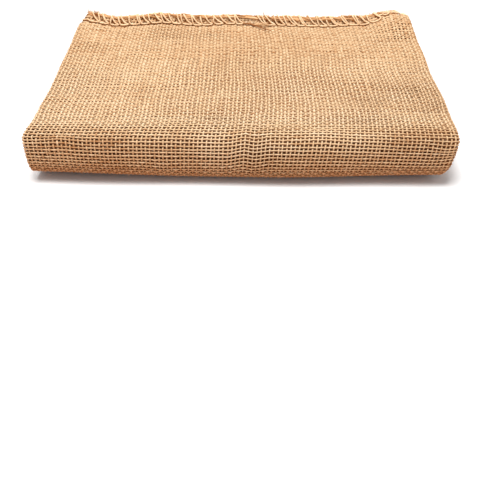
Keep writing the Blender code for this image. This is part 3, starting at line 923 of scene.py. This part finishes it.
def ravelled_edge(name, first, last, shade):
    """The raw edge, rolled up and frayed: loose weft threads that wind about one another along it."""
    columns = np.arange(first, last, RAVEL_STEP)
    count = len(columns)
    lumps = 1 + RAVEL_LUMPS[0] * wander(count, RAVEL_LUMPS[1])
    rise = RAVEL_RISE[0] * wander(count, RAVEL_RISE[1])
    middle, height = RAVEL_MIDDLE
    meshes = []
    for strand in range(RAVEL_STRANDS + 1):
        heart = strand == RAVEL_STRANDS
        ways = [wander(count, RAVEL_KNOTS) for _ in range(5)]
        angle = 2 * math.pi * strand / RAVEL_STRANDS + RAVEL_TURN * columns + RAVEL_STRAY * ways[0]
        reach = RAVEL_REACH * lumps * (1 + RAVEL_UNEVENNESS * ways[1]) * (not heart)
        s = EDGE_S + middle + rise + reach * np.cos(angle) + RAVEL_WANDER * ways[2]
        path = cloth(columns, row_of(s), height + RAVEL_DEPTH * reach * np.sin(angle))
        radius = RAVEL_RADIUS * (1 + RAVEL_UNEVENNESS * ways[3])
        radius = np.clip(radius, *RAVEL_LIMITS) + RAVEL_HEART * heart
        tone = np.clip(RAVEL_TONE[0] + RAVEL_TONE[1] * ways[4], 0, 1)
        meshes.append(mesh_of_tubes("strand", cord_rings(path, radius, 5)[None], tone[None]))
    return add_piece(name, join_meshes(name, meshes), shade)


# ---------------- loose fibres

FIBRE_STEPS = np.linspace(0.0, 1.0, 4)[None, :, None]  # along a fibre
FIBRE_CURL = 0.35  # how far its tip curls to the side, as a share of its length
FIBRE_TAPER = 0.6  # how much thinner its tip is, as a share
FIBRE_TONE = (0.62, 0.16)  # its middle value and its spread
UP = 0.001  # how far off the cloth a second point is taken, to find which way is out


def unit(vectors):
    """The vectors at a length of 1."""
    return vectors / np.linalg.norm(vectors, axis=-1, keepdims=True)


def fibres(name, spots, out, heading, length, radius, lift, shade):
    """Loose fibres in one mesh: each leaves its spot along its heading, and arches and curls off the cloth."""
    count = len(spots)
    out = unit(out)
    heading = unit(heading)
    side = np.cross(out, heading)
    arch = (lift * random.uniform(0.3, 1.0, count))[:, None, None]
    curl = random.normal(0.0, FIBRE_CURL, count)[:, None, None]
    along = FIBRE_STEPS * heading[:, None] + arch * np.sin(2.2 * FIBRE_STEPS) * out[:, None]
    along = along + curl * FIBRE_STEPS ** 2 * side[:, None]
    path = spots[:, None] + length[:, None, None] * along
    path[..., 2] = press(path[..., 2])
    turn = 2 * math.pi * np.arange(3) / 3
    ring = np.cos(turn)[None, :, None] * out[:, None] + np.sin(turn)[None, :, None] * side[:, None]
    size = radius[:, None, None, None] * (1 - FIBRE_TAPER * FIBRE_STEPS[..., None] ** 2)
    rings = path[:, :, None] + size * ring[:, None]
    tone = np.repeat(np.clip(random.normal(*FIBRE_TONE, count), 0, 1)[:, None], path.shape[1], axis=1)
    return add_piece(name, mesh_of_tubes(name, rings, tone), shade)


FUZZ_HEIGHT = 0.0006  # where it leaves the yarn, off the wall's middle
FUZZ_LENGTH = 0.0021
FUZZ_RADIUS = 0.00006


def fuzz(name, count, columns, rows, shade):
    """Short fibres that stand off the yarn all over a part of the cloth."""
    c = random.uniform(*columns, count)
    r = random.uniform(*rows, count)
    spots = cloth(c, r, FUZZ_HEIGHT)
    out = cloth(c, r, FUZZ_HEIGHT + UP) - spots
    angle = random.uniform(0, 2 * math.pi, count)
    heading = cloth(c + 0.4 * np.cos(angle), r + 0.4 * np.sin(angle), FUZZ_HEIGHT) - spots
    length = FUZZ_LENGTH * random.lognormal(0.0, 0.40, count)
    radius = FUZZ_RADIUS * random.lognormal(0.0, 0.25, count)
    return fibres(name, spots, out, heading, length, radius, 0.55, shade)


CUT_RADIUS = 0.00016  # of a warp thread's loose end
CUT_SPREAD = 0.0009  # how far the ends lie off the wall's middle


def cut_ends(name, count, columns, usual_length, shade):
    """The warp's cut ends and loose fibres, which stand out along the raw edge."""
    c = random.uniform(*columns, count)
    s = EDGE_S + random.normal(0.0002, 0.0006, count)
    height = random.normal(0.0, CUT_SPREAD, count)
    spots = cloth(c, row_of(s), height)
    heading = cloth(c + random.normal(0.0, 0.45, count), row_of(s + 0.001), height) - spots
    out = cloth(c, row_of(s), height + UP) - spots
    length = usual_length * random.lognormal(0.0, 0.45, count)
    radius = CUT_RADIUS * random.lognormal(0.0, 0.35, count)
    return fibres(name, spots, out, heading, length, radius, 0.6, shade)


BRUSH_START = (0.0075, 0.0004)  # x, and s past the lip's crease
BRUSH_RUN = (0.0150, -0.0003)  # from there to its end
BRUSH_FAN = 0.0030  # how far its end spreads
BRUSH_HEIGHT = LEG + WALL / 2 + 0.0016
BRUSH_RADIUS = 0.00022


def tail_brush(name, count, shade):
    """The frayed strand beside the loose tail of the twine."""
    share = random.uniform(0, 1, count)
    x = BRUSH_START[0] + random.normal(0.0, 0.0008, count)
    s = SEAM_S + BRUSH_START[1] + 0.0007 * random.normal(0.0, 1.0, count)
    spots = place(s, x, BRUSH_HEIGHT, LEG)
    heading = place(s + BRUSH_RUN[1] - BRUSH_FAN * share, x + BRUSH_RUN[0], BRUSH_HEIGHT, LEG) - spots
    out = place(s, x, BRUSH_HEIGHT + UP, LEG) - spots
    length = np.linalg.norm(heading, axis=-1) * random.uniform(0.6, 1.0, count)
    radius = BRUSH_RADIUS * random.lognormal(0.0, 0.25, count)
    return fibres(name, spots, out, heading, length, radius, 0.12, shade)


# ---------------- the plies that the threads lie on

CORE_TOP = -0.0011  # height of the hidden plies' outer face off the outer wall's middle
CORE_THICKNESS = 0.0005
CORE_INSET = 0.05  # columns that it stays inside the left edges
CORE_END_INSET = 0.0005  # and how far inside the raw edge
CORE_STEP = 0.008  # along the runs
CORE_TURN_STEP = 10.0  # degrees, around the turns
CORE_SINK = 0.0012  # how much further in it lies in the front fold
CORE_SINK_GROWS = (-0.002, 0.012)  # past the fold's foot, between these
CORE_SINK_FADES = (0.002, 0.026)  # and past its top
CORE_LIP_SHARES = (0.0, 0.15, 0.3, 0.5, 0.75, 1.0)  # where its rows lie on the lip
PLY_OPENING_PAINTED_SHADE = 4.0  # how much darker, as painted shade, it grows for each unit of width that the threads lose where they lie apart


def core_stations():
    """Where the hidden plies' rows lie along the roll."""
    rows = []
    for part in ROLL:
        count = math.ceil(part["length"] / CORE_STEP)
        if part["kind"] == "turn":
            count = math.ceil(180 / CORE_TURN_STEP * (part["radius"] / LAYER_PITCH) ** 0.5)
        rows += [part["start"] + part["length"] * index / count for index in range(count)]
    rows += [SEAM_S + (EDGE_S - CORE_END_INSET - SEAM_S) * share for share in CORE_LIP_SHARES]
    return np.array(rows)


def plies(shade):
    """The hidden plies, as one thin closed sheet through all the folds, just under the threads that show."""
    s = core_stations()[:, None]
    columns = np.concatenate([
        np.linspace(CORE_INSET, COLUMNS, 30, endpoint=False),
        np.linspace(COLUMNS, FOLD_END, 6, endpoint=False),
        np.linspace(FOLD_END, LAST_COLUMN - CORE_INSET, 16),
    ])[None, :]
    sink = CORE_SINK * smooth(s - FRONT["start"], *CORE_SINK_GROWS)
    sink = sink * (1 - smooth(s - TOP["start"], *CORE_SINK_FADES)) * (columns < COLUMNS)
    upper = cloth(columns, row_of(s), CORE_TOP - sink)
    lower = cloth(columns, row_of(s), CORE_TOP - CORE_THICKNESS - sink)
    shares = np.broadcast_arrays(columns / LAST_COLUMN, s / EDGE_S)
    counts = np.broadcast_arrays(columns, row_of(s))
    maps = [("OFBake", np.stack(shares, axis=-1)), ("weave", np.stack(counts, axis=-1))]
    mesh = mesh_of_sheet("hidden_plies", upper, lower, maps)
    # Painted shadow: the plies are darker where the front fold sinks them and where the weave lies open.
    painted_hole_shade = np.clip(-PLY_OPENING_PAINTED_SHADE * patch(OPENINGS, columns, row_of(s)), 0.0, 1.0)
    dark = np.maximum(sink / CORE_SINK, painted_hole_shade)
    tone = np.broadcast_to(1 - dark, upper.shape[:2]).ravel()
    add_tone(mesh, np.concatenate([tone, tone]))
    return add_piece("hidden_plies", mesh, shade)


# ---------------- materials

# Each yarn's colours, dark, middle and light.
YARN = ((0.37, 0.130, 0.024), (0.700, 0.475, 0.272), (0.86, 0.68, 0.48))
TWINE = ((0.34, 0.15, 0.055), (0.82, 0.55, 0.315), (0.96, 0.76, 0.52))
TAIL_END = ((0.11, 0.036, 0.010), (0.27, 0.105, 0.034), (0.48, 0.23, 0.095))
RAW_EDGE = ((0.34, 0.140, 0.050), (0.70, 0.40, 0.190), (0.90, 0.64, 0.38))
# And the hidden plies', dark and light: painted shade, which stands for the bag's other wall in shade.
PLY_DEEP_PAINTED_SHADOW = ((0.070, 0.025, 0.010), (0.23, 0.095, 0.040))  # a near-black painted shadow behind the front's holes
PLY_SHALLOW_PAINTED_SHADE = ((0.19, 0.052, 0.008), (0.34, 0.108, 0.022))  # and painted shade elsewhere
TWIST_LEAN = 0.9  # radians that the fibres lean across the yarn
TWIST_SCALE = (1.6, 5.0, 1.0)
FIBRE_CONTRAST = 0.55  # how much the fibres change the yarn's tone
FIBRE_RELIEF = 0.00012  # how far they stand out


def set_values(node, values):
    """Sets a node's own sockets."""
    for socket, value in values.items():
        node.inputs[socket].default_value = value


def material(name):
    """A new material with only its Principled shader, and that shader."""
    made = bpy.data.materials.new(name)
    made.use_nodes = True
    return made, made.node_tree.nodes["Principled BSDF"]


def add_node(made, kind, values=None):
    """A new node in a material, with its sockets set."""
    node = made.node_tree.nodes.new("ShaderNode" + kind)
    set_values(node, values or {})
    return node


def add_tone_node(made):
    """The lightness that a mesh gives each of its points."""
    tone = add_node(made, "Attribute")
    tone.attribute_name = "tone"
    return tone.outputs["Fac"]


def add_noise(made, map_name, values, turned=None):
    """Noise over one of the mesh's maps, which may be turned and scaled first."""
    link = made.node_tree.links.new
    places = add_node(made, "UVMap")
    places.uv_map = map_name
    spot = places.outputs["UV"]
    if turned:
        mapping = add_node(made, "Mapping", turned)
        link(spot, mapping.inputs["Vector"])
        spot = mapping.outputs["Vector"]
    grain = add_node(made, "TexNoise", values)
    link(spot, grain.inputs["Vector"])
    return grain.outputs["Fac"]


def add_ramp(made, share, *stops):
    """The colour that share picks between stops of a place and a colour: the outer two first, then the rest."""
    ramp = add_node(made, "ValToRGB")
    elements = ramp.color_ramp.elements
    for index, (spot, colour) in enumerate(stops):
        stop = elements[index] if index < 2 else elements.new(spot)
        stop.position = spot
        stop.color = (*colour, 1.0)
    made.node_tree.links.new(share, ramp.inputs["Fac"])
    return ramp.outputs["Color"]


def thread_material(name, dark, middle, light):
    """Jute yarn: its tone, painted light and shade included, twisted fibres in colour and relief, and a faint
    sheen.
    """
    made, shader = material(name)
    link = made.node_tree.links.new
    turned = {"Rotation": (0.0, 0.0, TWIST_LEAN), "Scale": TWIST_SCALE}
    grain = add_noise(made, "twist", {"Scale": 3.0, "Detail": 4.0, "Roughness": 0.6}, turned)
    lowered = add_node(made, "Math", {1: FIBRE_CONTRAST / 2})
    lowered.operation = "SUBTRACT"
    link(add_tone_node(made), lowered.inputs[0])
    swing = add_node(made, "Math", {1: FIBRE_CONTRAST})
    swing.operation = "MULTIPLY_ADD"
    link(grain, swing.inputs[0])
    link(lowered.outputs[0], swing.inputs[2])
    colour = add_ramp(made, swing.outputs[0], (0.12, dark), (0.88, light), (0.5, middle))
    link(colour, shader.inputs["Base Color"])
    bump = add_node(made, "Bump", {"Strength": 0.6, "Distance": FIBRE_RELIEF})
    link(grain, bump.inputs["Height"])
    link(bump.outputs["Normal"], shader.inputs["Normal"])
    set_values(shader, {"Roughness": 0.9, "Specular IOR Level": 0.18})
    set_values(shader, {"Sheen Weight": 0.05, "Sheen Roughness": 0.5, "Sheen Tint": (1.0, 0.78, 0.52, 1.0)})
    return made


def ply_material(name):
    """The hidden plies, all in painted shade: a near-black painted shadow behind the front's holes, and a warm
    shaded brown elsewhere.
    """
    made, shader = material(name)
    link = made.node_tree.links.new
    grain = add_noise(made, "weave", {"Scale": 1.3, "Detail": 3.0})
    blend = add_node(made, "Mix")
    blend.data_type = "RGBA"
    link(add_tone_node(made), blend.inputs["Factor"])
    for socket, (dark, light) in (("A", PLY_DEEP_PAINTED_SHADOW), ("B", PLY_SHALLOW_PAINTED_SHADE)):
        link(add_ramp(made, grain, (0.35, dark), (0.65, light)), blend.inputs[socket])
    link(blend.outputs["Result"], shader.inputs["Base Color"])
    set_values(shader, {"Roughness": 0.95, "Specular IOR Level": 0.1})
    return made


# ---------------- camera, light and floor

CAMERA_PLACE = (0.0055, -0.5432, 0.3051)
CAMERA_PITCH = 39.01  # degrees down
CAMERA_TURN = 0.87  # degrees to the left
CAMERA_LENS = 55.125  # mm, on a sensor 36 mm wide


LAMP_PLACE = (-0.10, -0.12, 1.09)
LAMP_AIM = (0.0, 0.0, 0.02)
LAMP_SIZE = 0.7
LAMP_POWER = 16.4  # watts
SKY_STRENGTH = 0.50
FLOOR_SIZE = 6.0
FLOOR_WHITE = (0.92, 0.92, 0.92, 1.0)
FLOOR_BOUNCE = (0.64, 0.385, 0.28, 1.0)  # the light it gives back to the sack, as the like sack below would


def add_camera():
    """The photo's view."""
    camera = bpy.data.objects.new("camera", bpy.data.cameras.new("camera"))
    camera.data.lens = CAMERA_LENS
    camera.data.sensor_width = 36.0
    camera.data.clip_start = 0.01
    camera.location = CAMERA_PLACE
    camera.rotation_euler = Euler((math.radians(90 - CAMERA_PITCH), 0.0, math.radians(CAMERA_TURN)))
    bpy.context.scene.collection.objects.link(camera)
    bpy.context.scene.camera = camera


def add_light():
    """One large softbox overhead in an even white room."""
    light = bpy.data.lights.new("overhead", "AREA")
    light.shape = "SQUARE"
    light.size = LAMP_SIZE
    light.energy = LAMP_POWER
    lamp = bpy.data.objects.new("overhead", light)
    lamp.location = LAMP_PLACE
    lamp.rotation_euler = (Vector(LAMP_AIM) - Vector(LAMP_PLACE)).to_track_quat("-Z", "Y").to_euler()
    bpy.context.scene.collection.objects.link(lamp)
    world = bpy.data.worlds.new("studio")
    world.use_nodes = True
    set_values(world.node_tree.nodes["Background"], {"Color": (1.0, 1.0, 1.0, 1.0), "Strength": SKY_STRENGTH})
    bpy.context.scene.world = world
    bpy.context.scene.view_settings.view_transform = "Standard"


def add_floor():
    """A plain white floor, which lights the sack no more than another sack under it would."""
    bpy.ops.mesh.primitive_plane_add(size=FLOOR_SIZE)
    floor = bpy.context.object
    floor.name = "floor"
    made, shader = material("white floor")
    mix = add_node(made, "Mix")
    mix.data_type = "RGBA"
    set_values(mix, {"A": FLOOR_BOUNCE, "B": FLOOR_WHITE})
    made.node_tree.links.new(add_node(made, "LightPath").outputs["Is Camera Ray"], mix.inputs["Factor"])
    made.node_tree.links.new(mix.outputs["Result"], shader.inputs["Base Color"])
    set_values(shader, {"Roughness": 0.9, "Specular IOR Level": 0.0})
    floor.data.materials.append(made)


# ---------------- the sack

MID = COLUMNS + FOLD_COLUMNS // 2  # a column on the widthwise fold
ROW_OF_FRONT = round(float(row_of(FRONT["start"] - 0.012)))
ROW_OF_UNDER = round(float(row_of(UNDER["start"] + 0.008)))
ROW_OF_BACK = round(float(row_of(BACK["start"] - 0.026)))
ROW_OF_LIP = round(float(row_of(SEAM_S - 0.004)))
OUTSIDE = (-3, FOLD_END + 2)  # the outer leg and the fold beside it
# Where threads show: spans of columns and of rows, and rings to a thread's pitch.
REGIONS = (
    # name, columns, rows, fine
    ("top", OUTSIDE, (ROW_OF_FRONT, ROWS), 2),
    ("under", OUTSIDE, (ROW_OF_UNDER, ROW_OF_FRONT), 1),
    ("back", OUTSIDE, (ROW_OF_BACK, ROW_OF_UNDER), 2),
    ("left_outer", (-3, 3), (0, ROW_OF_BACK), 2),
    ("left_inner", (LAST_COLUMN - 3, LAST_COLUMN + 3), (0, ROW_OF_LIP), 2),
    ("right_fold", (MID - 4, MID + 4), (0, ROW_OF_BACK), 2),
    ("lip_rear", (6 - COLUMNS, -4), (ROW_OF_LIP + 1, ROWS), 2),
    ("lip_under", (FOLD_END + 3, LAST_COLUMN + 3), (ROW_OF_LIP, ROWS), 2),
    ("lip_inside", (LAST_COLUMN + 4, LAST_COLUMN + COLUMNS - 6), (ROW_OF_LIP + 1, ROWS), 2),
)
TWINE_STEP = 0.0006  # from one ring of the twine to the next
TWINE_SIDES = 8
REAR_STEP = 0.0010  # where it is hidden behind
REAR_SIDES = 5


def main():
    """Builds the stage and the sack, and hides the part's solids that the sack stands in for."""
    add_camera()
    add_light()
    add_floor()
    yarn = thread_material("jute yarn", *YARN)
    for region, columns, (first, last), fine in REGIONS:
        threads("warp", region, columns, (first, last), fine, yarn)
        threads("weft", region, columns, (first, last - 1), fine, yarn)
    cord = thread_material("jute twine", *TWINE)
    twine_left = twine("twine_left", run_path(LEFT_RUN, TWINE_STEP), TWINE_SIDES, cord)
    twine_right = twine("twine_right", run_path(RIGHT_RUN, TWINE_STEP), TWINE_SIDES, cord)
    twine("twine_rear", run_path(REAR_RUN, REAR_STEP), REAR_SIDES, cord)
    brown = thread_material("jute tail", *TAIL_END)
    twine_tail = twine("twine_tail", tail_path(TWINE_STEP), TWINE_SIDES, brown, TAIL_TIP)
    frayed = thread_material("jute raw edge", *RAW_EDGE)
    ravelled_edge("raw_edge", 0.2, LAST_COLUMN - 0.2, frayed)
    cut_ends("cut_ends", 240, (0.2, COLUMNS), 0.0013, frayed)
    tail_brush("tail_brush", 46, frayed)
    fuzz("fuzz_top", 2400, (0, FOLD_END), (ROW_OF_FRONT + 4, ROWS), yarn)
    cut_ends("corner_tuft", 70, (-0.7, 3.0), 0.0017, frayed)
    core = plies(ply_material("jute plies in painted shade"))
    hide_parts("sack_cloth")
    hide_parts("seam_twine_left")
    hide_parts("seam_twine_left")
    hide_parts("seam_twine_right")


main()
